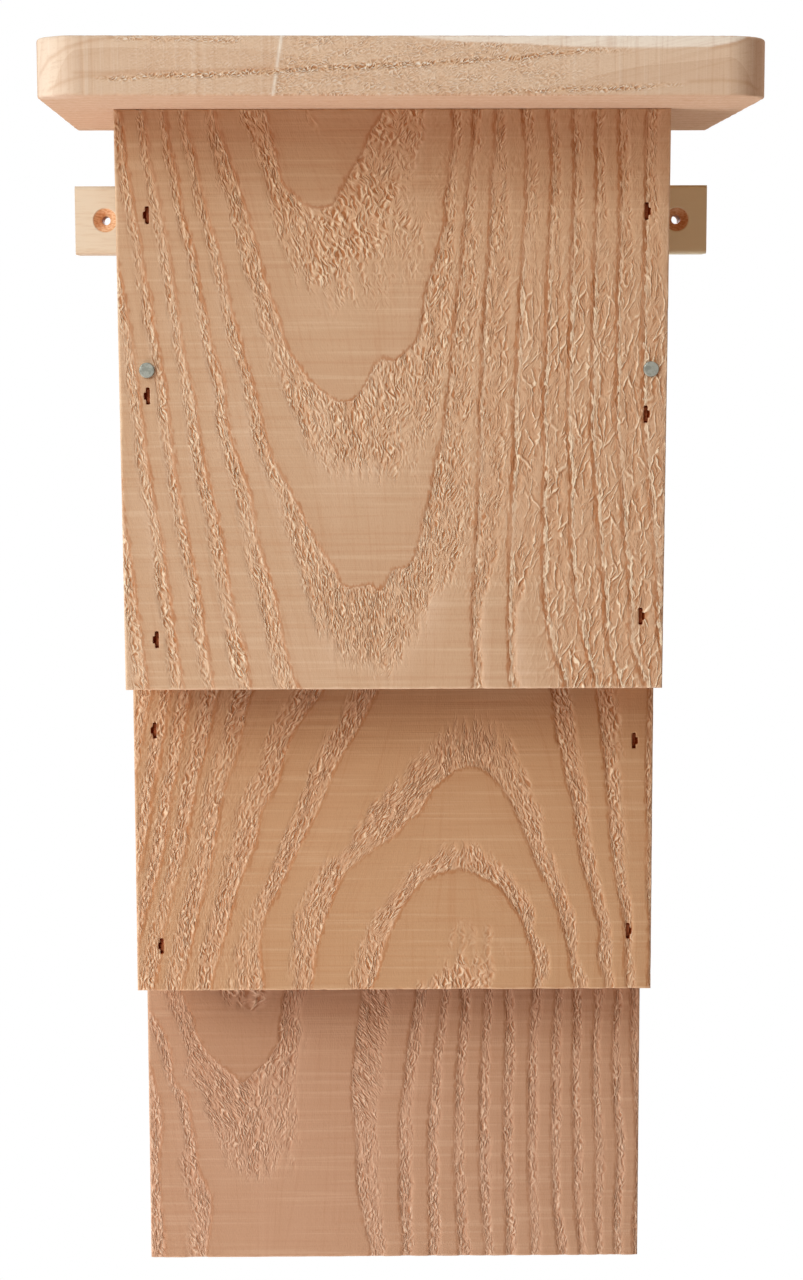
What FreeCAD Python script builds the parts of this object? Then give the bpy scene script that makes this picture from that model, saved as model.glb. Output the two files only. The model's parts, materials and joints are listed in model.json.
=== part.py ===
import FreeCAD, Part
import math
import os

# A stepped bat box for a wall, in millimetres.
# The origin is at the centre of the batten's rear face, midway between the two wall screw holes.
# The wall is the plane y = 0, the box stands in front of it towards -Y, and +Z is up.
# Left and right are those of a person who faces the box.

# The three panels share one width and one thickness.
panel_width = 200.0
panel_thickness = 20.0
front_panel_height = 210.0
middle_panel_height = 334.0
back_panel_height = 457.0
# The front panel is sawn a little narrower towards its lower end.
front_panel_foot_width = 197.6

# The crevices between the panels, closed at their sides by strips.
front_crevice_depth = 20.0
rear_crevice_depth = 20.0
spacer_width = 20.0

# The roof board, fastened on slightly askew.
roof_width = 250.0
roof_thickness = 20.0
roof_front_overhang = 50.0
roof_corner_radius = 15.0
roof_shift = 2.0
roof_turn_degrees = 1.0

# The hanging batten behind the back panel.
batten_length = 252.0
batten_height = 27.0
batten_thickness = 15.0
batten_edge_radius = 1.5
batten_drop = 35.0
screw_hole_diameter = 3.5
screw_hole_end_distance = 12.0
countersink_diameter = 10.0
countersink_angle_degrees = 90.0

# The round-headed nails that hold the front frame to the middle panel.
nail_shank_diameter = 2.65
nail_head_diameter = 5.6
nail_head_thickness = 1.2
nail_head_rim_radius = 0.4
nail_head_proud = 1.0
nail_point_length = 4.0
nail_tip_diameter = 0.3
nail_bite = 9.0
nail_drop = 93.0
left_nail_inset = 10.2
right_nail_inset = 6.0
right_nail_lean_degrees = 3.0

# The staples, of flattened wire, sunk below the wood in a slot with a bump at its middle.
staple_crown = 5.8
staple_wire_width = 1.25
staple_wire_thickness = 1.0
staple_bend_radius = 0.7
staple_sink = 2.0
staple_bite = 12.0
slot_clearance = 0.2
slot_bump_length = 2.6
slot_bump_width = 0.9

# Where the staples are. A drop is measured down from the roof, a rise up from a panel's lower end,
# an inset in from a panel's side edge.
front_staple_first_drop = 37.0
front_staple_last_rise = 22.7
front_staple_below_nail = 13.0
front_staple_left_inset = 11.2
front_staple_right_inset = 8.0
middle_staple_above_nail = 18.0
middle_staple_last_rise = 20.5
middle_staple_count = 4
middle_staple_inset = 8.6
back_staple_inset = 10.0
roof_staple_count = 3
roof_staple_side_distance = 30.0
batten_staple_outer_inset = 22.0
batten_staple_spacing = 45.0
# Hand work puts each staple up to this far off its even place. Each pair below is a share of it,
# inwards from the side edge and upwards.
hand_scatter = 4.0
front_left_strays = ((0.05, -0.12), (-0.2, 0.93), (0.18, -1.0))
front_right_strays = ((0.08, 0.15), (-0.1, -0.83), (0.08, 1.0))
middle_left_strays = ((0.1, -0.38), (-0.15, 0.5), (-0.12, 0.65), (0.28, -0.65))
middle_right_strays = ((-0.08, 0.45), (0.2, -0.35), (-0.3, -0.5), (0.12, 0.63))

# How far a cutting shape reaches beyond the face that it opens.
cut_margin = 1.0

# Planes from the wall forwards.
batten_front = -batten_thickness
back_panel_front = batten_front - panel_thickness
middle_panel_rear = back_panel_front - rear_crevice_depth
middle_panel_front = middle_panel_rear - panel_thickness
front_panel_rear = middle_panel_front - front_crevice_depth
front_panel_front = front_panel_rear - panel_thickness

# Levels above the batten's middle.
roof_underside = batten_drop
roof_top = roof_underside + roof_thickness
front_panel_foot = roof_underside - front_panel_height
middle_panel_foot = roof_underside - middle_panel_height
back_panel_foot = roof_underside - back_panel_height

half_width = panel_width / 2.0
sides = {"left": -1, "right": 1}

X = FreeCAD.Vector(1, 0, 0)
Y = FreeCAD.Vector(0, 1, 0)
Z = FreeCAD.Vector(0, 0, 1)


def block(x_range, y_range, z_range):
    """A box between two planes on each axis."""
    size = [high - low for low, high in (x_range, y_range, z_range)]
    return Part.makeBox(*size, FreeCAD.Vector(x_range[0], y_range[0], z_range[0]))


def front_half_width(drop):
    """Half the front panel's width at a distance below the roof."""
    narrowing = (panel_width - front_panel_foot_width) / 2.0
    return half_width - narrowing * drop / front_panel_height


def make_front_panel():
    foot = front_panel_foot_width / 2.0
    corners = ((-half_width, roof_underside), (half_width, roof_underside),
               (foot, front_panel_foot), (-foot, front_panel_foot))
    points = [FreeCAD.Vector(x, front_panel_front, z) for x, z in corners]
    outline = Part.makePolygon(points + points[:1])
    return Part.Face(outline).extrude(Y * panel_thickness)


def make_panel(front, foot):
    return block((-half_width, half_width), (front, front + panel_thickness), (foot, roof_underside))


def make_spacer(side, front, rear, foot):
    inner = side * (half_width - spacer_width)
    outer = side * half_width
    return block((min(inner, outer), max(inner, outer)), (front, rear), (foot, roof_underside))


def make_roof():
    """A board with its two front corners rounded, turned and shifted a little on the panels."""
    front = front_panel_front - roof_front_overhang
    depth = batten_front - front
    board = block((-roof_width / 2.0, roof_width / 2.0), (front, batten_front), (roof_underside, roof_top))
    corners = [edge for edge in board.Edges
               if abs(edge.tangentAt(edge.FirstParameter).z) > 0.5
               and abs(edge.CenterOfMass.y - front) < roof_corner_radius / 2.0]
    board = board.makeFillet(roof_corner_radius, corners)
    board.rotate(FreeCAD.Vector(0, batten_front - depth / 2.0, 0), Z, roof_turn_degrees)
    board.translate(X * roof_shift)
    return board


def make_batten():
    """A planed batten with eased long edges and a countersunk hole at each end."""
    half_length = batten_length / 2.0
    half_height = batten_height / 2.0
    batten = block((-half_length, half_length), (batten_front, 0.0), (-half_height, half_height))
    front_edges = [edge for edge in batten.Edges
                   if abs(edge.tangentAt(edge.FirstParameter).x) > 0.5
                   and edge.CenterOfMass.y < batten_front / 2.0]
    batten = batten.makeFillet(batten_edge_radius, front_edges)
    hole_radius = screw_hole_diameter / 2.0
    mouth_radius = countersink_diameter / 2.0
    slope = math.tan(math.radians(countersink_angle_degrees / 2.0))
    sink_depth = (mouth_radius - hole_radius) / slope
    for side in sides.values():
        x = side * (half_length - screw_hole_end_distance)
        mouth = FreeCAD.Vector(x, batten_front, 0)
        sink = Part.makeCone(mouth_radius, hole_radius, sink_depth, mouth, Y)
        entry = Part.makeCylinder(mouth_radius, cut_margin, mouth - Y * cut_margin, Y)
        hole = Part.makeCylinder(hole_radius, batten_thickness + cut_margin, mouth, Y)
        batten = batten.cut([sink, entry, hole])
    return batten


def make_nail():
    """A nail driven towards +Y, with the wood's face at y = 0."""
    head_rear = nail_head_thickness - nail_head_proud
    shank_end = front_crevice_depth + panel_thickness + nail_bite - nail_point_length
    head = Part.makeCylinder(nail_head_diameter / 2.0, nail_head_thickness,
                             FreeCAD.Vector(0, -nail_head_proud, 0), Y)
    rim = [edge for edge in head.Edges
           if edge.BoundBox.YLength < nail_head_rim_radius / 2.0
           and abs(edge.BoundBox.Center.y + nail_head_proud) < nail_head_rim_radius / 2.0]
    head = head.makeFillet(nail_head_rim_radius, rim)
    shank = Part.makeCylinder(nail_shank_diameter / 2.0, shank_end - head_rear,
                              FreeCAD.Vector(0, head_rear, 0), Y)
    point = Part.makeCone(nail_shank_diameter / 2.0, nail_tip_diameter / 2.0, nail_point_length,
                          FreeCAD.Vector(0, shank_end, 0), Y)
    return head.fuse([shank, point]).removeSplitter()


def make_staple(board_thickness):
    """A staple driven towards +Y with its crown along Z, the board's face at y = 0."""
    half_wire = staple_wire_width / 2.0
    half_crown = staple_crown / 2.0
    length = board_thickness - staple_sink + staple_bite
    outer = block((-half_wire, half_wire), (staple_sink, staple_sink + length), (-half_crown, half_crown))
    bends = [edge for edge in outer.Edges
             if abs(edge.tangentAt(edge.FirstParameter).x) > 0.5
             and abs(edge.CenterOfMass.y - staple_sink) < staple_wire_thickness / 2.0]
    outer = outer.makeFillet(staple_bend_radius, bends)
    between_legs = half_crown - staple_wire_thickness
    inner = block((-half_wire - cut_margin, half_wire + cut_margin),
                  (staple_sink + staple_wire_thickness, staple_sink + length + cut_margin),
                  (-between_legs, between_legs))
    return outer.cut(inner)


def make_slot(bump_side):
    """The hole that the staple gun's driver leaves above the crown."""
    half_slot = staple_wire_width / 2.0 + slot_clearance
    half_length = staple_crown / 2.0 + slot_clearance
    depth = (-cut_margin, staple_sink)
    slot = block((-half_slot, half_slot), depth, (-half_length, half_length))
    bump_edge = bump_side * (half_slot + slot_bump_width)
    bump = block((min(0.0, bump_edge), max(0.0, bump_edge)), depth,
                 (-slot_bump_length / 2.0, slot_bump_length / 2.0))
    return slot.fuse(bump).removeSplitter()


def placed(shape, point, drive, crown):
    """A copy of a fastener at a point of the wood's face, driven along one axis."""
    turned = FreeCAD.Rotation(drive.cross(crown), drive, crown, "YZX")
    copy = shape.copy()
    copy.Placement = FreeCAD.Placement(point, turned)
    return copy


def evenly(first, last, count):
    """Places from first to last with equal steps."""
    return [first + (last - first) * i / max(count - 1, 1) for i in range(count)]


boards = {}
fasteners = {}
slots = []


def add_staple(name, board_thickness, point, drive, crown, bump_side=1):
    fasteners[name] = placed(make_staple(board_thickness), point, drive, crown)
    slots.append(placed(make_slot(bump_side), point, drive, crown))


boards["roof_board"] = make_roof()
boards["front_panel"] = make_front_panel()
boards["middle_panel"] = make_panel(middle_panel_front, middle_panel_foot)
boards["back_panel"] = make_panel(back_panel_front, back_panel_foot)
for side_name, side in sides.items():
    boards["front_spacer_" + side_name] = make_spacer(side, front_panel_rear, middle_panel_front,
                                                      front_panel_foot)
    boards["rear_spacer_" + side_name] = make_spacer(side, middle_panel_rear, back_panel_front,
                                                     middle_panel_foot)
boards["hanging_batten"] = make_batten()

# Nails, the right one leaning so that its point runs to the middle of the side strip.
for side_name, inset, lean in (("left", left_nail_inset, 0.0),
                               ("right", right_nail_inset, right_nail_lean_degrees)):
    side = sides[side_name]
    x = side * (front_half_width(nail_drop) - inset)
    angle = math.radians(lean)
    drive = FreeCAD.Vector(-side * math.sin(angle), math.cos(angle), 0)
    point = FreeCAD.Vector(x, front_panel_front, roof_underside - nail_drop)
    fasteners["front_nail_" + side_name] = placed(make_nail(), point, drive, Z)

# Staples through the front panel into its side strips.
front_drops = (front_staple_first_drop, nail_drop + front_staple_below_nail,
               front_panel_height - front_staple_last_rise)
for side_name, inset, strays in (("left", front_staple_left_inset, front_left_strays),
                                 ("right", front_staple_right_inset, front_right_strays)):
    side = sides[side_name]
    for number, (drop, (stray_in, stray_up)) in enumerate(zip(front_drops, strays), 1):
        x = side * (front_half_width(drop) - inset - hand_scatter * stray_in)
        level = roof_underside - drop + hand_scatter * stray_up
        point = FreeCAD.Vector(x, front_panel_front, level)
        add_staple(f"front_staple_{side_name}_{number}", panel_thickness, point, Y, Z, side)

# Staples through the middle panel into the rear side strips.
middle_drops = evenly(nail_drop - middle_staple_above_nail, middle_panel_height - middle_staple_last_rise,
                      middle_staple_count)
for side_name, strays in (("left", middle_left_strays), ("right", middle_right_strays)):
    side = sides[side_name]
    for number, (drop, (stray_in, stray_up)) in enumerate(zip(middle_drops, strays), 1):
        x = side * (half_width - middle_staple_inset - hand_scatter * stray_in)
        level = roof_underside - drop + hand_scatter * stray_up
        point = FreeCAD.Vector(x, middle_panel_front, level)
        add_staple(f"middle_staple_{side_name}_{number}", panel_thickness, point, Y, Z, side)

# Staples from behind through the back panel into the rear side strips, halfway between the others.
for side_name, side in sides.items():
    for number, (above, below) in enumerate(zip(middle_drops, middle_drops[1:]), 1):
        level = roof_underside - (above + below) / 2.0
        point = FreeCAD.Vector(side * (half_width - back_staple_inset), batten_front, level)
        add_staple(f"back_staple_{side_name}_{number}", panel_thickness, point, -Y, Z)

# Staples down through the roof into the upper ends of the front and back panels.
roof_staple_reach = half_width - roof_staple_side_distance
for row_name, panel_front in (("front", front_panel_front), ("rear", back_panel_front)):
    for number, x in enumerate(evenly(-roof_staple_reach, roof_staple_reach, roof_staple_count), 1):
        point = FreeCAD.Vector(x, panel_front + panel_thickness / 2.0, roof_top)
        add_staple(f"roof_staple_{row_name}_{number}", roof_thickness, point, -Z, X)

# Staples from behind through the batten into the back panel.
for side_name, side in sides.items():
    for number in (1, 2):
        reach = half_width - batten_staple_outer_inset - (number - 1) * batten_staple_spacing
        point = FreeCAD.Vector(side * reach, 0, 0)
        add_staple(f"batten_staple_{side_name}_{number}", batten_thickness, point, -Y, Z)


def driven_into(board, cutters):
    """A board with the holes of everything that is driven into it."""
    crossing = [cutter for cutter in cutters if board.BoundBox.intersect(cutter.BoundBox)]
    return board.cut(crossing) if crossing else board


os.makedirs("parts", exist_ok=True)
cutters = list(fasteners.values()) + slots
for name, board in boards.items():
    driven_into(board, cutters).exportStep("parts/" + name + ".step")
for name, fastener in fasteners.items():
    fastener.exportStep("parts/" + name + ".step")
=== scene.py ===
"""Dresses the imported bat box: rough-sawn boards with torn grain, an eased roof board, a planed batten,
zinc nails and bronze-coloured staples, on a plain pale stage.

Lengths are millimetres unless a name says otherwise, and go to metres where a mesh is made.
"""

import json
import math
from functools import reduce

import bpy
import numpy as np
from mathutils import Matrix, Vector
from mathutils.geometry import delaunay_2d_cdt

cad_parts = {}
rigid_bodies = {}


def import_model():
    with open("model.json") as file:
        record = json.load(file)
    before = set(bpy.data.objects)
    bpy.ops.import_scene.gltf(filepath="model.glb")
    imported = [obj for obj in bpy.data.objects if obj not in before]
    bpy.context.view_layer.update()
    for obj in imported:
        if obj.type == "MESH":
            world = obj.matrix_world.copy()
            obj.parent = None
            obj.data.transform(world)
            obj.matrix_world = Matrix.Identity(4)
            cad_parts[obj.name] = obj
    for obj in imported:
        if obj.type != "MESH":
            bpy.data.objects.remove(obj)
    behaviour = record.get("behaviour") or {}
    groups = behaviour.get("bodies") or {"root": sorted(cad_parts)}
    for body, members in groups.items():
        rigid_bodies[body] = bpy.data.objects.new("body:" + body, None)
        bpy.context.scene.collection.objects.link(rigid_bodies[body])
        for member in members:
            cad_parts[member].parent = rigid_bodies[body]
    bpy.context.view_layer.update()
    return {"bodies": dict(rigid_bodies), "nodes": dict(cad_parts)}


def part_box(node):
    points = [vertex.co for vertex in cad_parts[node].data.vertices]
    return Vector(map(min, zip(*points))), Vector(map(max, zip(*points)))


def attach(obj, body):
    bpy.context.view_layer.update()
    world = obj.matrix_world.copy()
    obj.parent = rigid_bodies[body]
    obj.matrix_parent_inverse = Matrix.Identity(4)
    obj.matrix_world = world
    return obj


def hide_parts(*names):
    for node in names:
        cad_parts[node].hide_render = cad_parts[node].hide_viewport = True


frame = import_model()

MM = 0.001
BODY = list(frame["bodies"])[0]

# Seeded noise, worked out on whole arrays.
HASH_X, HASH_Y, HASH_SEED, HASH_MIX = 374761393, 668265263, 1442695041, 1274126177
WORD = 0xFFFFFFFF
NOISE_GAIN = 1.5


def noise(x, y, seed):
    """Smooth gradient noise from about -1 to 1, one hump per unit."""
    x, y = np.broadcast_arrays(np.asarray(x, float), np.asarray(y, float))
    ix, iy = np.floor(x).astype(np.int64), np.floor(y).astype(np.int64)
    fx, fy = x - ix, y - iy

    def corner(dx, dy):
        h = ((ix + dx) * HASH_X + (iy + dy) * HASH_Y + seed * HASH_SEED) & WORD
        h = ((h ^ (h >> 13)) * HASH_MIX) & WORD
        angle = ((h ^ (h >> 16)) & WORD) / WORD * math.tau
        return np.cos(angle) * (fx - dx) + np.sin(angle) * (fy - dy)

    sx, sy = [t * t * t * (t * (t * 6 - 15) + 10) for t in (fx, fy)]
    low, high = [corner(0, dy) * (1 - sx) + corner(1, dy) * sx for dy in (0, 1)]
    return (low * (1 - sy) + high * sy) * NOISE_GAIN


def smooth(lo, hi, x):
    """0 below lo, 1 above hi and a soft step between; lo may be the larger."""
    t = np.clip((x - lo) / (hi - lo), 0, 1)
    return t * t * (3 - 2 * t)


def crest(x, y, seed, sharp):
    """Thin wandering ridges, 1 on the crest and 0 between."""
    return np.clip(1 - sharp * np.abs(noise(x, y, seed)), 0, 1) ** 1.5


# Growth rings. The plate's points are worked out in units of PLATE_SCALE, PLATE_BATCH at a time.
PLATE_SCALE = 100.0
PLATE_SOFTNESS = 2e-4
PLATE_BATCH = 20000
LEAST_SLOPE = 0.004
TINY = 1e-12


def surface_through(rings):
    """A thin-plate surface through the ring lines, as a function for its phase and its slope."""
    rows = [(x, z, phase) for phase, line in rings.items() for x, z in zip(line[::2], line[1::2])]
    points = np.array(rows, float)
    p = points[:, :2] / PLATE_SCALE
    n = len(p)

    def kernel(d2):
        return 0.5 * d2 * np.log(np.maximum(d2, TINY))

    d2 = ((p[:, None, :] - p[None, :, :]) ** 2).sum(2)
    system = np.zeros((n + 3, n + 3))
    system[:n, :n] = kernel(d2) + PLATE_SOFTNESS * np.eye(n)
    system[:n, n] = system[n, :n] = 1
    system[:n, n + 1 :] = p
    system[n + 1 :, :n] = p.T
    weights = np.linalg.solve(system, np.concatenate([points[:, 2], np.zeros(3)]))
    bends, level, tilt = weights[:n], weights[n], weights[n + 1 :]

    def value(x, z):
        q = np.stack([np.ravel(x), np.ravel(z)], 1) / PLATE_SCALE
        phase, slope = np.empty(len(q)), np.empty(len(q))
        for start in range(0, len(q), PLATE_BATCH):
            part = slice(start, start + PLATE_BATCH)
            away = q[part, None, :] - p[None, :, :]
            r2 = (away**2).sum(2)
            phase[part] = kernel(r2) @ bends + level + q[part] @ tilt
            pull = (np.log(np.maximum(r2, TINY)) + 1) * bends
            slopes = (pull[:, :, None] * away).sum(1) + tilt
            slope[part] = np.hypot(slopes[:, 0], slopes[:, 1]) / PLATE_SCALE
        return phase.reshape(np.shape(x)), np.maximum(slope, LEAST_SLOPE).reshape(np.shape(x))

    return value


# The lines where torn grain starts, as {phase: [x, z, x, z, ...]}, read off the photograph in millimetres.
# Phase counts the rings outwards from the middle of the figure. The torn wood lies on a line's outer side.
FRONT_RINGS = {
    0.55: [-26, 34],
    1: [-44.5, 30, -42, 20, -40, 10, -36, 5, -31, 1, -27, 0, -22, 1, -18, 8, -13, 16, -10, 22, -7, 28,
        -3, 35],
    1.5: [-46, 10, -40, -10, -34, -20, -29, -30, -23, -35, -12, -25, -8, -15, 3, 0, 8, 10, 12, 25],
    2: [-63.5, 32, -60, 22, -57, 13, -54, 3, -51, -6, -48.5, -15, -46.5, -24, -43, -34, -40, -44, -38, -51,
        -33, -58, -29, -63, -24, -67, -20, -69.5, -15, -69, -12, -66, -8, -59, -4, -54, 0, -55, 5, -51,
        8, -48, 10, -42, 13, -25, 16, -15, 18.5, -5, 20, 10, 21, 20, 22, 30],
    2.45: [-20, -98],
    3: [-73.5, 27.5, -71, 20, -70, 12, -68, 3, -65.5, -6, -63, -14, -60.5, -24, -58.5, -35, -56, -45,
        -53.5, -54, -51, -62, -49, -70, -45, -87, -42, -94, -38.5, -100, -34, -109, -30.5, -116, -26, -124,
        -22, -130, -19.5, -136, -13, -137, -9, -136.5, -6, -139, -2, -135, 0, -130.5, 6, -129, 9, -121,
        11, -112, 13.5, -102, 15, -92, 17, -85, 18.5, -78, 19, -70, 20.5, -60, 21, -50, 22.5, -35, 24, -25,
        25, -10, 26, 0, 27.5, 15, 28.5, 30],
    3.45: [-10, -172, 12, -165],
    4: [-80.5, 27.5, -79.5, 20, -77, 10, -76, 0, -73, -10, -70.5, -20, -69.5, -30, -67, -40, -65.5, -50,
        -61.5, -60, -60.5, -75, -56.5, -90, -53, -100, -51, -110, -49.5, -120, -46.5, -130, -43.5, -140,
        -41.5, -150, -40, -160, -37, -170, 36.5, 30, 35, 10, 34.5, -10, 33, -30, 32, -50, 31, -70, 31, -90,
        30.5, -110, 29.5, -130, 28.5, -150, 29.5, -170],
    5: [-88.5, 30, -87.5, 20, -85.5, 10, -83.5, 0, -81.5, -10, -80, -20, -78.5, -30, -76, -50, -74, -60,
        -71.5, -70, -69, -90, -67, -100, -64.5, -110, -62.5, -120, -61, -130, -59.5, -140, -57.5, -150,
        -54.5, -160, -53.5, -170, 48, 20, 48, 0, 46.5, -20, 45.5, -40, 44.5, -60, 43, -100, 42, -120,
        41.5, -150, 42, -170],
    6: [-97, 30, -94.5, 10, -93, 0, -90, -20, -86.5, -40, -83, -60, -81, -80, -78.5, -100, -75, -120,
        -71, -140, -68.5, -160, -67, -170, 56, 30, 56.5, 0, 55.5, -40, 55, -90, 54.5, -120, 56, -150,
        58, -160, 62, -170],
    7: [-99, -20, -95.5, -40, -93, -60, -90.5, -80, -88, -100, -84.5, -120, -82, -140, -79.5, -160,
        -78, -170, 64.5, 30, 64, -20, 63.5, -60, 64.5, -120, 66, -140, 70, -160, 73, -170],
    8: [-99, -105, -97, -120, -94.5, -140, -92, -160, -91, -170, 72.5, 30, 72, -40, 71.5, -80, 75, -120,
        77, -140, 82, -170],
    9: [81, 30, 81, -80, 84, -120, 87, -160],
    10: [91, 30, 91, -80, 93, -100, 95, -120],
}
MIDDLE_RINGS = {
    0.6: [24, -325],
    1: [24, -301, 16, -306, 32, -306],
    1.45: [24, -286, 10, -298, 38, -298],
    2: [24, -251.5, 15, -254, 10, -257, 7, -261, 4, -265, 0, -273, -3, -280, -5, -287, -8, -296,
        30, -252.5, 35, -255, 40, -258, 46, -266, 49, -271, 51, -276, 53, -282, 54.5, -297],
    2.45: [24, -241, 10, -249, 0, -259, -9, -270, -17, -292, 40, -247, 48, -256, 55, -277, 59, -297],
    3: [30, -211, 25, -212, 20, -215.5, 15, -220, 10, -229, 5, -232.5, 0, -238.5, -5, -241.5, -10, -245,
        -15, -249, -20, -254, -22, -259, -25, -266, -27, -272, -29, -279, -31, -288, -32, -297, 35, -212.5,
        40, -217.5, 45, -225, 50, -236, 53, -244, 57, -253, 60, -259, 63, -266, 66, -277, 68, -285,
        69.5, -295],
    3.45: [30, -193, 10, -205, 0, -217, -10, -226, -20, -243, 47, -206, 54, -222, 60, -243, 67, -262,
        71, -285],
    4: [-7, -183, -13, -195, -19, -205, -24, -215, -28, -225, -33, -235, -38, -245, -42, -254, -46, -262,
        -50, -270, -52, -280, -51, -297, 60.5, -182, 62.5, -198, 65, -208, 69.5, -228, 71.5, -243,
        76, -260, 80, -277, 82, -297],
    5: [-28, -183, -37, -195, -42, -207, -45, -218, -51, -228, -53, -240, -57, -250, -61, -260, -63, -268,
        -66, -278, -68, -285, -71, -297, 78, -182, 80, -200, 82, -220, 83.5, -240, 86.5, -260, 89.5, -277,
        90.5, -297],
    6: [-55, -183, -59, -201, -65, -219, -69, -238, -73, -258, -78, -278, -82, -297, 98, -182, 98, -240,
        99, -297],
    7: [-68, -185, -72, -203, -77, -222, -80, -240, -85, -258, -89, -275, -93, -297],
    8: [-78, -183, -81, -200, -85, -217, -88, -238, -92, -255, -97, -272],
    9: [-86, -183, -90, -210, -94, -230, -98, -250],
    10: [-93, -183, -97, -203, -99, -213],
}
BACK_RINGS = {
    0.05: [-60, -306],
    0.45: [-60, -318, -71, -312, -50, -312],
    1: [-82, -320, -80, -328, -77, -333, -73, -338, -70, -341, -65, -345, -60, -347, -55, -342, -52, -339,
        -50, -336, -47, -330, -46, -320, -45, -312],
    1.45: [-89, -322, -86, -345, -78, -362, -66, -385, -52, -388, -41, -372, -39, -345, -38, -318],
    1.8: [-24, -318, -26, -350, -28, -400, -30, -420],
    2: [-93, -328, -90, -340, -85, -352, -83, -362, -81, -372, -80, -384, -76, -393, -75, -405, -77, -420,
        -14, -316, -15, -325, -17, -345, -17, -360, -15.5, -380, -14, -400, -12, -410, -10, -420],
    3: [-98, -345, -96, -380, -94, -420, 9, -311, 6, -328, 4, -348, 2.5, -358, 2, -380, 2, -400, 3, -420],
    4: [19, -311, 17, -330, 15, -350, 13.5, -370, 14, -420],
    5: [27, -311, 25, -345, 24.5, -370, 26, -420],
    6: [37, -311, 35, -350, 34.5, -380, 37, -420],
    7: [45, -311, 44.5, -350, 45.5, -420],
    8: [56, -311, 54.5, -350, 56, -420],
    9: [65.5, -311, 64.5, -350, 67, -420],
    10: [73, -311, 72.5, -350, 76, -420],
    11: [81.5, -311, 82, -400, 83, -420],
    12: [90, -311, 91, -380],
    13: [96, -311, 98, -420],
}

# How far the fibres lean at each x, as x per z.
FRONT_LEANS = [
    (-95, -0.13), (-75, -0.18), (-55, -0.23), (-30, -0.22), (0, -0.05), (20, 0.04), (45, 0.03), (60, 0.0),
    (95, -0.03)]
MIDDLE_LEANS = [
    (-95, 0.10), (-75, 0.18), (-60, 0.24), (-35, 0.36), (0, 0.3), (25, 0.0), (45, -0.32), (65, -0.18),
    (85, -0.1), (98, -0.02)]
BACK_LEANS = [(-95, -0.08), (-80, -0.2), (-60, -0.05), (-45, 0.15), (-25, 0.02), (10, 0.03), (98, -0.02)]


# The slot that the staple gun's driver leaves, and how far its bottom lies under the surface.
SLOT_HALF_WIDTH = 0.70
SLOT_HALF_LENGTH = 3.1
SLOT_BUMP_LENGTH = 2.6
SLOT_BUMP_WIDTH = 0.78
SLOT_DEPTH = 2.3
SLOT_LIP = 0.2
SLOT_RAGGED = 0.09
# The outline's steps, the room left round it in the grid, and the size of the triangles there.
SLOT_STEP = 0.55
SLOT_ROOM = 0.25
SLOT_FILL = 0.6


def slot_outline(x, z, side, across=False):
    """The T-shaped slot's outline, anticlockwise, with its bump towards side."""
    w, h, b = SLOT_HALF_WIDTH, SLOT_HALF_LENGTH, SLOT_BUMP_LENGTH / 2
    out = w + SLOT_BUMP_WIDTH
    corners = np.array([(-w, -h), (w, -h), (w, -b), (out, -b), (out, b), (w, b), (w, h), (-w, h)])
    ring = []
    for a, c in zip(corners, np.roll(corners, -1, axis=0)):
        steps = max(2, round(float(np.hypot(*(c - a))) / SLOT_STEP))
        ring += [a + (c - a) * (k + 0.5) / steps for k in range(steps)]
    ring = np.array(ring) * (side, 1)
    if side < 0:
        ring = ring[::-1]
    if across:
        ring = ring[:, ::-1][::-1]
    u, v = ring.T
    ragged = np.stack([noise(v + x, u + z, 5), noise(u - z, v + x, 6)], 1)
    return ring + SLOT_RAGGED * ragged + (x, z)


def inside(points, ring):
    """Whether each point is inside the ring."""
    x, y = points[:, 0], points[:, 1]
    hit = np.zeros(len(points), bool)
    for (x1, y1), (x2, y2) in zip(ring, np.roll(ring, -1, axis=0)):
        if y1 != y2:
            hit ^= ((y1 > y) != (y2 > y)) & (x < (x2 - x1) * (y - y1) / (y2 - y1) + x1)
    return hit


def fill_points(rim, holes, spacing):
    """Points on a grid inside the rim, clear of the holes."""
    lo, hi = rim.min(0), rim.max(0)
    nx, ny = np.maximum(((hi - lo) / spacing).astype(int), 1)
    gx = lo[0] + (np.arange(nx) + 0.5) * (hi[0] - lo[0]) / nx
    gy = lo[1] + (np.arange(ny) + 0.5) * (hi[1] - lo[1]) / ny
    pts = np.stack(np.meshgrid(gx, gy), -1).reshape(-1, 2)
    pts = pts[inside(pts, rim)]
    clear = (0.4 * spacing) ** 2
    for ring in holes:
        near = ((pts[:, None, :] - ring[None, :, :]) ** 2).sum(2).min(1)
        pts = pts[(near > clear) & ~inside(pts, ring)]
    return pts


def put(name, data):
    """A new object in the scene."""
    thing = bpy.data.objects.new(name, data)
    bpy.context.scene.collection.objects.link(thing)
    return thing


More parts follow.
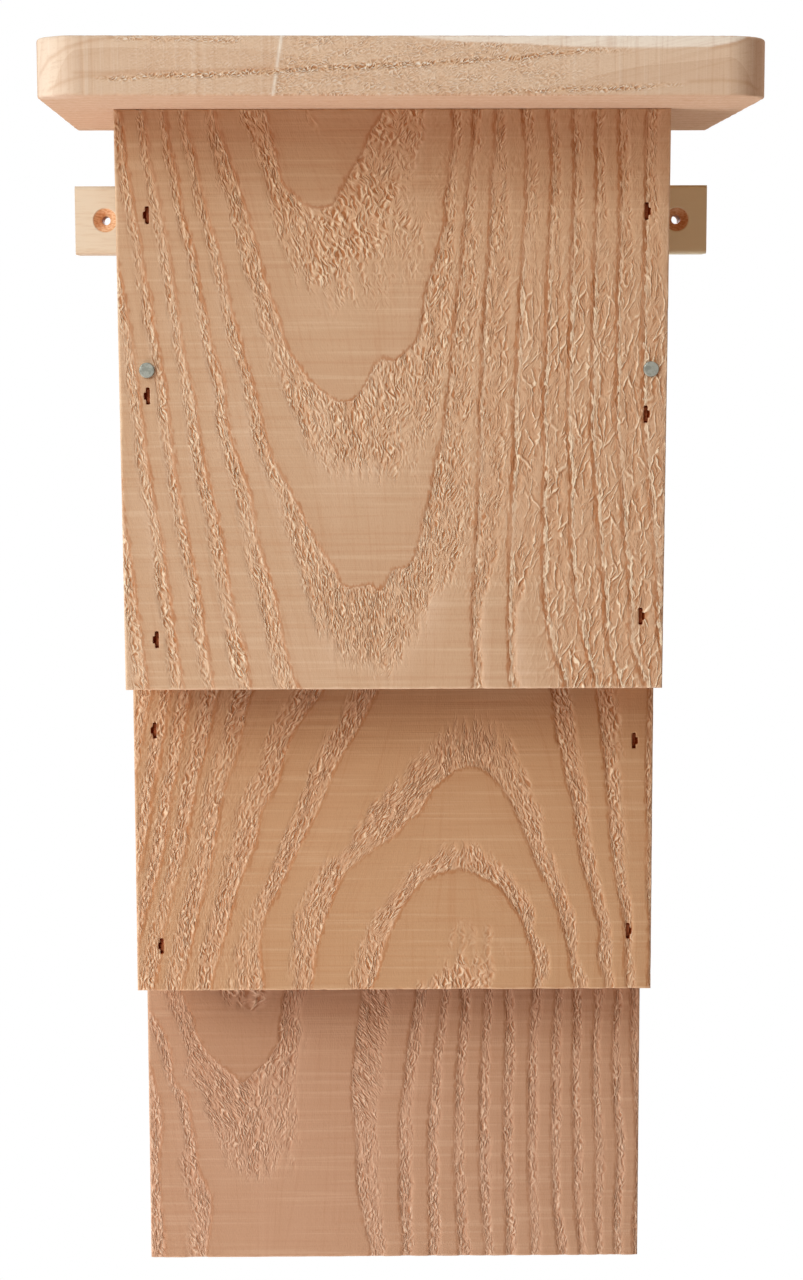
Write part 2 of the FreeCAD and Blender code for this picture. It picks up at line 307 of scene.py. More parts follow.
class Shell:
    """Collects the vertices and faces of one closed board, in millimetres."""

    def __init__(self):
        self.points, self.darks, self.faces = [], [], []
        self.count = 0

    def add(self, pts, dark=0.0):
        """Adds rows of (x, y, z) and returns their numbers. dark marks the inside of a slot."""
        pts = np.asarray(pts, float).reshape(-1, 3)
        first = self.count
        self.points.append(pts)
        self.darks.append(np.full(len(pts), dark))
        self.count += len(pts)
        return np.arange(first, self.count)

    def band(self, a, b):
        """Joins two closed loops of equal length with squares."""
        self.faces += list(zip(a, b, np.roll(b, -1), np.roll(a, -1)))

    def sink(self, ring, lift, inward, turned=False):
        """Adds a slot's walls and floor under its outline, and returns the hole for cap."""
        surface, inward = lift(ring), np.array(inward, float)
        top = self.add(surface)
        lip = self.add(surface + inward * SLOT_LIP, 1.0)
        floor = self.add(surface + inward * SLOT_DEPTH, 1.0)
        for upper, lower in ((top, lip), (lip, floor)):
            self.band(*((upper, lower) if turned else (lower, upper)))
        self.faces.append(tuple(floor[::-1] if turned else floor))
        return top, ring

    def cap(self, rim, flat, holes, spacing, lift, turned=False):
        """Fills the loop rim with triangles round the holes.

        flat is the rim's flat places, a hole is (numbers, flat places), and lift gives new places their
        (x, y, z).
        """
        loops = [(rim, flat), *holes]
        edges = []
        for ring, _ in loops:
            steps = len(edges) + np.arange(len(ring))
            edges += list(zip(steps.tolist(), np.roll(steps, -1).tolist()))
        inner = fill_points(flat, [c for _, c in holes], spacing)
        numbers = np.concatenate([n for n, _ in loops] + [self.add(lift(inner))])
        coords = np.concatenate([c for _, c in loops] + [inner])
        found = delaunay_2d_cdt([Vector(c) for c in coords.tolist()], edges, [], 1, 1e-6)
        old = np.array([o[0] for o in found[3]])
        tris = old[np.array(found[2])]
        for _, ring in holes:
            tris = tris[~inside(coords[tris].mean(1), ring)]
        tris = numbers[tris]
        self.faces += [tuple(t) for t in (tris[:, ::-1] if turned else tris).tolist()]

    def finish(self, name, attributes, material, node, slot_name):
        """Makes the object, with its vertex attributes, in place of the CAD node."""
        pts = np.concatenate(self.points)
        mesh = bpy.data.meshes.new(name)
        mesh.from_pydata((pts * MM).tolist(), [], [tuple(int(i) for i in f) for f in self.faces])
        mesh.update()
        mesh.polygons.foreach_set("use_smooth", [True] * len(mesh.polygons))
        values = attributes(pts)
        values["slot"] = np.concatenate(self.darks)
        for key, value in values.items():
            kind, field = ("FLOAT_VECTOR", "vector") if value.ndim == 2 else ("FLOAT", "value")
            layer = mesh.attributes.new(key, kind, "POINT")
            layer.data.foreach_set(field, np.ravel(value).astype(np.float32))
        mesh.materials.append(material)
        thing = put(name, mesh)
        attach(thing, BODY)
        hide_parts(node)


def grid_lines(lo, hi, spacing, rim, one_end=False):
    """Evenly spaced lines from lo to hi, with closer ones by the rim."""
    near = [lo + r for r in rim]
    far = [] if one_end else [hi - r for r in rim][::-1]
    start, stop = near[-1], (hi if one_end else far[0])
    even = np.linspace(start, stop, 1 + math.ceil((stop - start) / spacing))
    return np.concatenate([near[:-1], even, far[1:]])


def rim_of(a):
    """The border of a grid, anticlockwise from its lower left."""
    return np.concatenate([a[0, :-1], a[:-1, -1], a[-1, :0:-1], a[:0:-1, 0]])


# The panels' softened edges and the chips out of them, the rear edge, and how deep the torn grain lies.
ARRIS = 0.7
CHIP = 0.8
REAR_ARRIS = 0.4
RELIEF = 0.6
CREST_HEIGHT = 0.36
SMALL_CREST_HEIGHT = 0.16
SAW_HEIGHT = 0.03
# Where lines of vertices lie beside an edge and down the sides, and the rings' spacing into the board.
RIM_LINES = [0.0, 0.14, 0.38, 0.75]
SIDE_LINES = [1.6, 4, 7, 10, 13, 16]
RING_DEPTH = 17.0


class Panel:
    """One sawn panel: its growth rings, torn grain and relief as functions of the place on it.

    Its traits: seed, for the noise; middle, the height about which the fibres lean, down to lean_foot
    below it; reach, how much of each ring is torn; crossing, where fibres with second_lean take over.
    """

    lean_foot = -200.0

    def __init__(self, name, rings, leans, **traits):
        vars(self).update(traits)
        self.name = name
        self.lo, self.hi = [np.array(corner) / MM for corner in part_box(name)]
        self.field = surface_through(rings)
        self.leans = np.array(leans).T
        self.half = (self.hi[0] - self.lo[0]) / 2

    def half_at(self, z):
        """Half the width at a height."""
        return np.full(np.shape(z), self.half)

    def flow(self, x, z):
        """The place across the grain, the same all along a fibre."""
        return x - np.interp(x, *self.leans) * np.maximum(z - self.middle, self.lean_foot)

    def sway(self, x, z, phase):
        """(how far the second grain direction takes over, the place across it)."""
        return self.crossing(x, z, phase - np.floor(phase)), x - self.second_lean * z

    def wildness(self, x, z):
        """How large the lifted fibres are."""
        return np.zeros(np.shape(x))

    def edge(self, x, z):
        """The distance to the nearest edge of the face."""
        side = self.half_at(z) - np.abs(x)
        return np.maximum(np.minimum(np.minimum(side, z - self.lo[2]), self.hi[2] - z), 0)

    def torn(self, x, z, below=0.0):
        """(how torn the grain is, nearness of a ring line, phase, phase per mm) at each place."""
        phase, slope = self.field(x, z)
        phase = phase + below / RING_DEPTH
        u = self.flow(x, z)
        s, part = self.seed, phase - np.floor(phase)
        ragged = 0.5 * noise(u / 1.1, z / 6, s + 1) + 0.5 * noise(u / 2.5, z / 12, s + 2)
        onset = smooth(-0.2, 0.7, part / slope + ragged)
        loose = 0.10 * noise(u / 2.2, z / 9, s + 3) + 0.06 * noise(u / 6, z / 25, s + 4)
        reach, least = self.reach(x, z)
        fade = 1 - smooth(0.62 * reach, reach, part + loose)
        vigour = np.clip(0.85 + 0.45 * noise(u / 11, z / 26, s + 6), 0.3, 1.1)
        torn = onset * np.maximum(fade * vigour, least * (0.8 + 0.4 * noise(u / 5, z / 20, s + 7)))
        nearest = (phase - np.round(phase)) / slope
        seam = np.exp(-((nearest / 2.6) ** 2)) * (phase > 0.6) * np.clip(vigour, 0, 1)
        return np.clip(torn, 0, 1), seam, phase, slope

    def relief(self, x, z):
        """(how far the face lies under its plane, torn) in millimetres."""
        torn, _, phase, _ = self.torn(x, z)
        s = self.seed

        def ridges(u):
            u = u + 1.1 * noise(u / 7, z / 9, s + 11) + 0.5 * noise(u / 3, z / 4.5, s + 12)
            return crest(u / 3.1, z / 17, s + 13, 2.3), crest(u / 2.0, z / 8, s + 14, 2.0)

        share, across = self.sway(x, z, phase)
        pairs = zip(ridges(self.flow(x, z)), ridges(across))
        big, small = [one + (two - one) * share for one, two in pairs]
        wave = 0.5 + 0.5 * noise(x / 30, z / 2.2, s + 15)
        down = torn * (RELIEF - CREST_HEIGHT * big - SMALL_CREST_HEIGHT * small)
        down = down + (1 - torn) * SAW_HEIGHT * wave
        radius = ARRIS * (1 + 0.5 * noise(x / 9, z / 9, s + 16))
        radius = radius + CHIP * smooth(0.35, 0.8, noise(x / 5, z / 5, s + 17))
        inner = np.clip(radius - self.edge(x, z), 0, radius)
        return down + radius - np.sqrt(np.maximum(radius * radius - inner * inner, 0)), torn

    def attributes(self, pts):
        """What the material reads at each vertex."""
        x, y, z = pts.T
        below = y - self.lo[1]
        down, _ = self.relief(x, z)
        torn, seam, phase, slope = self.torn(x, z, below)
        share, sway_across = self.sway(x, z, phase)
        front = smooth(2.5, 1.5, below)
        rear = smooth(1.0, 0.3, self.hi[1] - y)
        end = smooth(0.6, 0.1, np.minimum(z - self.lo[2], self.hi[2] - z)) * (1 - front) * (1 - rear)
        return {
            "flow": np.stack([self.flow(x, z), y, z], 1),
            "torn": torn * np.clip(front + 0.15 * rear + 0.3, 0, 1) * (1 - end),
            "seam": seam,
            "ring": phase,
            "slope": slope,
            "high": np.clip(1 - down / RELIEF, 0, 1) * front + 0.5 * (1 - front),
            "edge": np.minimum(self.edge(x, z) + 3 * (1 - front), 20),
            "end": end,
            "sway": share,
            "wild": self.wildness(x, z),
            "flow_two": np.stack([sway_across, y, z], 1),
        }

    def shrink(self, flat, inset):
        """The rim drawn in by inset."""
        x, z = flat.T
        low, high = self.lo[2], self.hi[2]
        middle, tall = (low + high) / 2, (high - low) / 2
        return np.stack([x * (1 - inset / self.half_at(z)), middle + (z - middle) * (1 - inset / tall)], 1)

    def build(self, spacing, rear_spacing, material, slots=(), rear_slots=(), shown_from=None, covered=0):
        """Makes the board. Above shown_from it is covered, and covered is the spacing of its rows there."""
        x_lines = grid_lines(-1.0, 1.0, spacing / self.half, [r / self.half for r in RIM_LINES])
        (_, face_y, low), (_, back_y, high) = self.lo, self.hi
        if shown_from is None:
            z_lines = grid_lines(low, high, spacing, RIM_LINES)
        else:
            rows = grid_lines(low, shown_from, spacing, RIM_LINES, one_end=True)
            above = np.linspace(shown_from, high, 1 + math.ceil((high - shown_from) / covered))
            z_lines = np.concatenate([rows, above[1:]])
        nx, nz = len(x_lines), len(z_lines)
        shell = Shell()

        def lift(flat):
            x, z = flat.T
            return np.stack([x, face_y + self.relief(x, z)[0], z], 1)

        def behind(flat, depth):
            return np.stack([flat[:, 0], np.full(len(flat), face_y + depth), flat[:, 1]], 1)

        zz = np.repeat(z_lines, nx)
        xx = np.tile(x_lines, nz) * self.half_at(zz)
        flat = np.stack([xx, zz], 1)
        grid = shell.add(lift(flat)).reshape(nz, nx)
        flat = flat.reshape(nz, nx, 2)
        open_cells = np.ones((nz - 1, nx - 1), bool)
        for x, z, side in slots:
            ring = slot_outline(x, z, side)
            lo, hi = ring.min(0) - SLOT_ROOM, ring.max(0) + SLOT_ROOM
            columns = x_lines * float(self.half_at(z))
            i0, i1 = np.searchsorted(columns, lo[0]) - 1, np.searchsorted(columns, hi[0])
            j0, j1 = np.searchsorted(z_lines, lo[1]) - 1, np.searchsorted(z_lines, hi[1])
            open_cells[j0:j1, i0:i1] = False
            cells = slice(j0, j1 + 1), slice(i0, i1 + 1)
            hole = shell.sink(ring, lift, (0, 1, 0))
            shell.cap(rim_of(grid[cells]), rim_of(flat[cells]), [hole], SLOT_FILL, lift)
        j, i = np.nonzero(open_cells)
        quads = [grid[j, i], grid[j, i + 1], grid[j + 1, i + 1], grid[j + 1, i]]
        shell.faces += np.stack(quads, 1).tolist()
        last, place = rim_of(grid), rim_of(flat)
        thick = back_y - face_y
        for depth in SIDE_LINES + [thick - REAR_ARRIS, thick]:
            rim = self.shrink(place, REAR_ARRIS if depth == thick else 0.0)
            above, last = last, shell.add(behind(rim, depth))
            shell.band(above, last)

        def rear(flat):
            return behind(flat, thick)

        holes = [shell.sink(slot_outline(*slot), rear, (0, -1, 0), turned=True) for slot in rear_slots]
        shell.cap(last, rim, holes, rear_spacing, rear, turned=True)
        shell.finish("board_" + self.name, self.attributes, material, self.name, "rough_sawn_wood")


class TaperedPanel(Panel):
    """The front panel, a little narrower towards its foot."""

    foot_half = 98.8

    def half_at(self, z):
        share = (np.asarray(z, float) - self.lo[2]) / (self.hi[2] - self.lo[2])
        return self.foot_half + (self.half - self.foot_half) * share

    def wildness(self, x, z):
        return smooth(15, 50, x) * (0.4 + 0.6 * smooth(20, -50, z))


def centres(start):
    """The middle of the box of each node whose name starts so."""
    names = [name for name in sorted(frame["nodes"]) if name.startswith(start)]
    return [[(a + b) / 2 / MM for a, b in zip(*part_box(name))] for name in names]


def staple_places(row):
    """(x, z, side) of a row's staples, those on the left first."""
    sides = (("left", -1), ("right", 1))
    return [(x, z, side) for name, side in sides for x, _, z in centres(f"{row}_staple_{name}_")]


ROOF_WIDTH = 250.0
ROOF_OVERHANG = 50.0
ROOF_RADIUS = 15.0
ROOF_SHIFT = 2.0
ROOF_TURN = math.radians(1.0)
ROOF_ARRIS = 0.9
ROOF_CHIP = 0.9
ROOF_RELIEF = 0.62
ROOF_RING = 9.0
# How many steps the outline has along each side, the front, the rear and a rounded corner.
ROOF_STEPS = {"side": 60, "front": 441, "rear": 110, "corner": 44}
ROOF_ROW = 0.5
# The height on the roof's edge above which its corner is worn as at the top.
ROOF_HALFWAY = 45.0
ROOF_TOP_SPACING = 2.2
ROOF_UNDER_SPACING = 2.6

# Where the torn streaks lie on the roof's front edge: (along, height, strength, half height).
ROOF_STREAKS = [
    [(-106, 40.3, 0, 0.7), (-100, 40.6, 0.7, 0.8), (-80, 41.6, 1, 1.2), (-60, 42.1, 1, 1.2),
     (-42, 43.3, 1, 1.2), (-20, 44.4, 1, 1.3), (0, 45.2, 1, 1.3), (20, 46.4, 0.9, 1.3),
     (40, 47.8, 0.9, 1.5), (55, 49.6, 0.9, 1.3), (68, 50.2, 0.6, 1.2), (80, 50.0, 0, 1.0)],
    [(-104, 53.6, 0, 0.6), (-95, 53.9, 0.6, 0.7), (-60, 53.4, 0.7, 1.2), (-50, 53.6, 0, 0.8)],
    [(22, 35.8, 0, 0.8), (34, 36.2, 0.7, 1.0), (60, 37.3, 0.8, 1.2), (75, 37.6, 0.8, 1.1),
     (92, 38.5, 0.4, 0.8), (98, 38.6, 0, 0.6)],
    [(-42, 48.6, 0, 1.0), (-30, 49.0, 0.35, 2.2), (0, 49.6, 0.4, 2.4), (30, 50.4, 0.35, 2.0),
     (48, 51.0, 0, 1.0)],
]
# Growth lines that show on the roof's front edge: (along, height).
ROOF_LINES = [
    [(-112, 42.6), (-100, 42.6), (-80, 43.2), (-60, 43.6), (-44, 44.4)],
    [(-124, 42.0), (-120, 47.0), (-114, 50.6), (-106, 53.0), (-97, 54.4)],
    [(-121, 36.6), (-116, 39.2), (-109, 41.2), (-101, 41.9), (-96, 42.2)],
    [(96, 39.6), (108, 40.2), (117, 39.6), (122, 37.0)],
    [(104, 51.0), (110, 51.6), (115, 53.2), (119, 54.8)],
]
ROOF_LINE_HALF = 0.6
# The lower edge of the planed band along the roof's upper right.
ROOF_BAND = [
    (2, 54.6), (20, 52.9), (40, 52.2), (60, 51.2), (72, 51.0), (90, 51.0), (105, 51.4), (113, 53.0),
    (118, 55.0)]
# The light step that crosses the front edge: where it is at a height, and how far it leans in the board.
STEP_AT = (-44, 36)
STEP_LEAN = 3 / 19


def near_line(x, z, line, half):
    """1 on a line given by places along and up, 0 away from it."""
    along, height = np.array(line).T
    steep = np.interp(x, along, np.gradient(height, along))
    off = (z - np.interp(x, along, height)) / np.hypot(1, steep)
    ends = smooth(along[0] - 1, along[0] + 2, x) * smooth(along[-1] + 1, along[-1] - 2, x)
    return np.exp(-((off / half) ** 2)) * ends


class Roof:
    """The roof board, with rounded front corners and grain along its length."""

    def __init__(self):
        lo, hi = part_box("roof_board")
        self.low, self.high = lo.z / MM, hi.z / MM
        self.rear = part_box("hanging_batten")[0].y / MM
        self.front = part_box("front_panel")[0].y / MM - ROOF_OVERHANG
        self.middle_y = (self.front + self.rear) / 2

    def turned(self, x, y, angle):
        """A place turned about the board's middle."""
        c, s = math.cos(angle), math.sin(angle)
        return c * x - s * y, s * x + c * y

    def place(self, flat):
        """Turns and shifts the board's own (x, y) to the frame's."""
        x, y = self.turned(flat[:, 0], flat[:, 1] - self.middle_y, ROOF_TURN)
        return np.stack([x + ROOF_SHIFT, y + self.middle_y], 1)

    def own(self, x, y):
        """The board's own (x, y) for a place in the frame."""
        x, y = self.turned(x - ROOF_SHIFT, y - self.middle_y, -ROOF_TURN)
        return x, y + self.middle_y

    def outline(self):
        """(the outline from the rear left, anticlockwise from above, its outward normals)."""
        half, r = ROOF_WIDTH / 2, ROOF_RADIUS
        quarter = np.linspace(0, math.pi / 2, ROOF_STEPS["corner"], endpoint=False)

        def run(a, b, name, normal):
            steps = np.linspace(0, 1, ROOF_STEPS[name], endpoint=False)[:, None]
            pts = np.array(a) + (np.array(b) - np.array(a)) * steps
            return pts, np.tile(normal, (len(pts), 1))

        def arc(cx, cy, start):
            way = np.stack([np.cos(start + quarter), np.sin(start + quarter)], 1)
            return np.array((cx, cy)) + r * way, way

        f, b = self.front, self.rear
        parts = [
            run((-half, b), (-half, f + r), "side", (-1, 0)),
            arc(-half + r, f + r, math.pi),
            run((-half + r, f), (half - r, f), "front", (0, -1)),
            arc(half - r, f + r, -math.pi / 2),
            run((half, f + r), (half, b), "side", (1, 0)),
            run((half, b), (-half, b), "rear", (0, 1)),
        ]
        flat, way = [np.concatenate(part) for part in zip(*parts)]
        corner = (flat[:, 1] > b - 0.01) & (np.abs(np.abs(flat[:, 0]) - half) < 0.01)
        way[corner] = np.stack([np.sign(flat[corner, 0]), np.ones(corner.sum())], 1)
        return flat, way

    def torn(self, x, z, front):
        """How torn the front edge is."""
        wander = 0.5 * noise(x / 6, z / 3, 41)
        torn = np.zeros(np.shape(x))
        for streak in ROOF_STREAKS:
            along, height, strength, half = np.array(streak).T
            off = (z + wander - np.interp(x, along, height)) / np.interp(x, along, half)
            torn = np.maximum(torn, np.interp(x, along, strength, 0, 0) * np.exp(-(off**2)))
        cut = self.saw_step(x, z)
        rough = smooth(-0.5, 1.5, cut) * smooth(78, 45, x) * (0.36 + 0.24 * noise(x / 9, z / 4, 42))
        torn = np.maximum(torn, np.maximum(rough, 0.16 * smooth(-105, -80, x) * smooth(0, -1, cut)))
        return torn * front * (1 - 0.85 * self.planed(x, z))

    def saw_step(self, x, z):
        """How far right of the light step."""
        return x - STEP_AT[0] - STEP_LEAN * (z - STEP_AT[1])

    def planed(self, x, z):
        """1 on the planed band along the upper right of the front edge."""
        along, height = np.array(ROOF_BAND).T
        return smooth(-0.3, 0.3, z - np.interp(x, along, height)) * smooth(0, 6, x)

    def relief(self, x, z, front):
        """(how far the edge lies under its plane, torn)."""
        torn = self.torn(x, z, front)
        warp = 0.8 * noise(x / 6, z / 5, 43)
        big = crest((x + 1.2 * z) / 3.6, (z + warp) / 1.9, 44, 2.0)
        small = crest((x + z) / 1.9, (z + warp) / 1.3, 45, 2.0)
        return torn * (ROOF_RELIEF - 0.42 * big - 0.2 * small), torn

    def build(self, material):
        """Makes the board from rows round its outline and two caps."""
        flat, way = self.outline()
        x, y = flat.T
        r = ROOF_ARRIS
        turn = np.linspace(0, math.pi / 2, 5)
        count = round((self.high - self.low - 2 * r) / ROOF_ROW)
        eased = [(r * (1 - math.cos(a)), r * (1 - math.sin(a))) for a in turn]
        rows = [(self.low + up, inset) for up, inset in eased]
        rows += [(z, 0.0) for z in np.linspace(self.low + r, self.high - r, count)[1:-1]]
        rows += [(self.high - down, inset) for inset, down in eased]
        front = smooth(-0.8, -0.98, way[:, 1])
        shell = Shell()
        loops = []
        for z, inset in rows:
            height = np.full(len(x), z)
            down, _ = self.relief(x, height, front)
            worn = 1 + 0.6 * noise(x / 7, (0.5 if z > ROOF_HALFWAY else 9.5) + y / 7, 46)
            chips = ROOF_CHIP * smooth(0.3, 0.8, noise(x / 4 + y / 4, z / 40, 47))
            pulled = inset * worn + chips * min(1, inset / r * 2)
            xy = self.place(flat - way * (down + pulled)[:, None])
            loops.append((shell.add(np.column_stack([xy, height])), xy))
        for (upper, _), (lower, _) in zip(loops[1:], loops[:-1]):
            shell.band(upper, lower)

        def under(p):
            return np.column_stack([p, np.full(len(p), self.low)])

        def over(p):
            sag = 0.12 * (1 + noise(p[:, 0] / 30, p[:, 1] / 4, 48)) / 2
            return np.column_stack([p, self.high - sag])

        slots = [slot_outline(x, y, -1, across=True) for x, y, _ in centres("roof_staple_")]
        holes = [shell.sink(slot, over, (0, 0, -1)) for slot in slots]
        shell.cap(*loops[-1], holes, ROOF_TOP_SPACING, over)
        shell.cap(*loops[0], [], ROOF_UNDER_SPACING, under, turned=True)
        shell.finish("board_roof", self.attributes, material, "roof_board", "roof_wood")

    def attributes(self, pts):
        """What the material reads at each vertex."""
        x, y = self.own(pts[:, 0], pts[:, 1])
        z = pts[:, 2]
        front = smooth(self.front + 1.8, self.front + 1.2, y)
        down, torn = self.relief(x, z, front)
        top = smooth(self.high - 0.4, self.high - 0.2, z)
        wide = 0.5 + 0.5 * noise(y / 9, x / 60, 50)
        half = ROOF_WIDTH / 2
        ends = smooth(half - 0.8, half - 0.2, np.abs(x)) * smooth(self.front + 6, self.front + 12, y)
        face = smooth(self.front + 14, self.front + 9, y)
        seam = np.max([near_line(x, z, line, ROOF_LINE_HALF) for line in ROOF_LINES], 0) * face
        step = np.exp(-((self.saw_step(x, z) / 0.45) ** 2)) * front
        # Painted highlight: the left end of the front edge, which faces the key lamp, is made paler through
        # pale.
        left = smooth(-106, -124, x) * face
        mark = np.exp(-(((x - 70) / 1.2) ** 2)) * smooth(50.5, 51.5, z) * front
        return {
            "flow": np.stack([z - 0.22 * x, y, x], 1),
            "pale": np.clip(0.75 * self.planed(x, z) * front + 0.9 * step + 0.4 * left, 0, 1),
            "torn": np.clip(torn + top * 0.6 * smooth(0.45, 0.8, wide), 0, 1),
            "seam": np.maximum(seam, 0.7 * mark),
            "ring": y / ROOF_RING + 0.25 * z / ROOF_RING + 0.4 * noise(y / 25, x / 90, 51),
            "high": np.clip(1 - down / ROOF_RELIEF, 0, 1) * front + 0.5 * (1 - front),
            "edge": np.full(len(x), 20.0),
            "end": ends,
            "wild": np.zeros(len(x)),
        }


def srgb(r, g, b):
    """A display colour from 0 to 255 as the linear colour that shaders take."""
    return (*((c / 255 / 12.92) if c <= 10 else (((c / 255 + 0.055) / 1.055) ** 2.4) for c in (r, g, b)), 1.0)


class Nodes:
    """Short calls for the nodes of one tree."""

    def __init__(self, tree):
        self.tree = tree

    def feed(self, socket, value):
        """Links a socket, or sets its own number or colour."""
        if isinstance(value, bpy.types.NodeSocket):
            self.tree.links.new(value, socket)
        else:
            socket.default_value = value

    def node(self, kind, *values, **settings):
        """A new node with its settings, its first inputs fed in order."""
        node = self.tree.nodes.new("ShaderNode" + kind)
        for key, value in settings.items():
            setattr(node, key, value)
        for socket, value in zip(node.inputs, values):
            self.feed(socket, value)
        return node

    def math(self, operation, *values, clamp=False):
        return self.node("Math", *values, operation=operation, use_clamp=clamp).outputs[0]

    def add(self, *values):
        return reduce(lambda a, b: self.math("ADD", a, b), values)

    def times(self, *values):
        return reduce(lambda a, b: self.math("MULTIPLY", a, b), values)

    def less(self, a, b):
        return self.math("SUBTRACT", a, b)

    def span(self, *values):
        """A value mapped softly from one range to another, or to 0 and 1."""
        return self.node("MapRange", *values, interpolation_type="SMOOTHSTEP").outputs[0]

    def mix(self, share, a, b):
        """A colour between a and b. The node's sockets for colours are found by number."""
        node = self.node("Mix", share, data_type="RGBA")
        self.feed(node.inputs[6], a)
        self.feed(node.inputs[7], b)
        return node.outputs[2]

    def attribute(self, name, output="Fac"):
        return self.node("Attribute", attribute_name=name).outputs[output]

    def place(self):
        """The place on the object in millimetres."""
        return self.stretch(self.node("TexCoord").outputs["Object"], (1 / MM,) * 3)

    def parts(self, vector):
        return self.node("SeparateXYZ", vector).outputs

    def stretch(self, vector, scale, shift=(0, 0, 0)):
        return self.node("VectorMath", vector, scale, shift, operation="MULTIPLY_ADD").outputs[0]

    def texture(self, kind, vector, sizes, shift=(0, 0, 0), **inputs):
        """A texture with lumps of these sizes in the vector's unit, and other inputs by name."""
        node = self.node(kind)
        vector = self.stretch(vector, [1 / s for s in sizes], shift)
        for name, value in {"Vector": vector, "Scale": 1.0, **inputs}.items():
            self.feed(node.inputs[name], value)
        return node

    def cells(self, vector, sizes, detail=2.0, twist=0.0, rough=0.5, shift=(0, 0, 0)):
        """Noise from 0 to 1."""
        inputs = {"Detail": detail, "Roughness": rough, "Distortion": twist}
        return self.texture("TexNoise", vector, sizes, shift, **inputs).outputs["Fac"]

    def warp(self, vector, sizes, reach):
        """The vector pushed about by up to reach."""
        lumps = self.texture("TexNoise", vector, sizes, Detail=1.5)
        push = self.stretch(lumps.outputs["Color"], (2 * reach,) * 3, (-reach,) * 3)
        return self.node("VectorMath", vector, push, operation="ADD").outputs[0]

    def net(self, vector, across, along, width, shift):
        """A net of ridges, 1 on the crest, round cells of this size. The vector is flat."""
        node = self.texture("TexVoronoi", vector, (across, along, math.inf), (*shift, 0))
        node.voronoi_dimensions, node.feature = "2D", "DISTANCE_TO_EDGE"
        return self.span(node.outputs["Distance"], width / across, 0.0)

    def seen_white(self):
        """1 for camera, glossy and transmission rays, which see plain white."""
        seen = self.node("LightPath").outputs
        white = self.math("MAXIMUM", seen["Is Camera Ray"], seen["Is Glossy Ray"])
        return self.math("MAXIMUM", white, seen["Is Transmission Ray"])


class Looks(Nodes):
    """A material, with short calls for its nodes."""

    def __init__(self, name):
        self.material = bpy.data.materials.new(name)
        self.material.use_nodes = True
        super().__init__(self.material.node_tree)
        self.shader = self.tree.nodes["Principled BSDF"]

    def relief(self, height):
        """A bump from a height in millimetres."""
        bump = self.node("Bump")
        self.feed(bump.inputs["Distance"], MM)
        self.feed(bump.inputs["Height"], height)
        self.feed(self.shader.inputs["Normal"], bump.outputs[0])

    def finish(self, colour, rough, gloss, metal=0.0):
        """Sets the surface and returns the material."""
        surface = {"Base Color": colour, "Roughness": rough, "Specular IOR Level": gloss, "Metallic": metal}
        for name, value in surface.items():
            self.feed(self.shader.inputs[name], value)
        return self.material


# How high the shader's fibre crests stand, how far beside a crest its shade lies, and the slots' colour.
FIBRE_HEIGHT = 0.36
SHADE_REACH = 0.55
SLOT_TONE = (150, 62, 22)
# The nets that the fibres follow, (across, along, width, shift), and how short they are on the roof.
FIBRE_NETS = [(2.0, 10.0, 0.42, 0), (0.95, 4.6, 0.3, 7), (3.2, 13.0, 0.44, 2)]
ROOF_FIBRE_LENGTH = 0.4


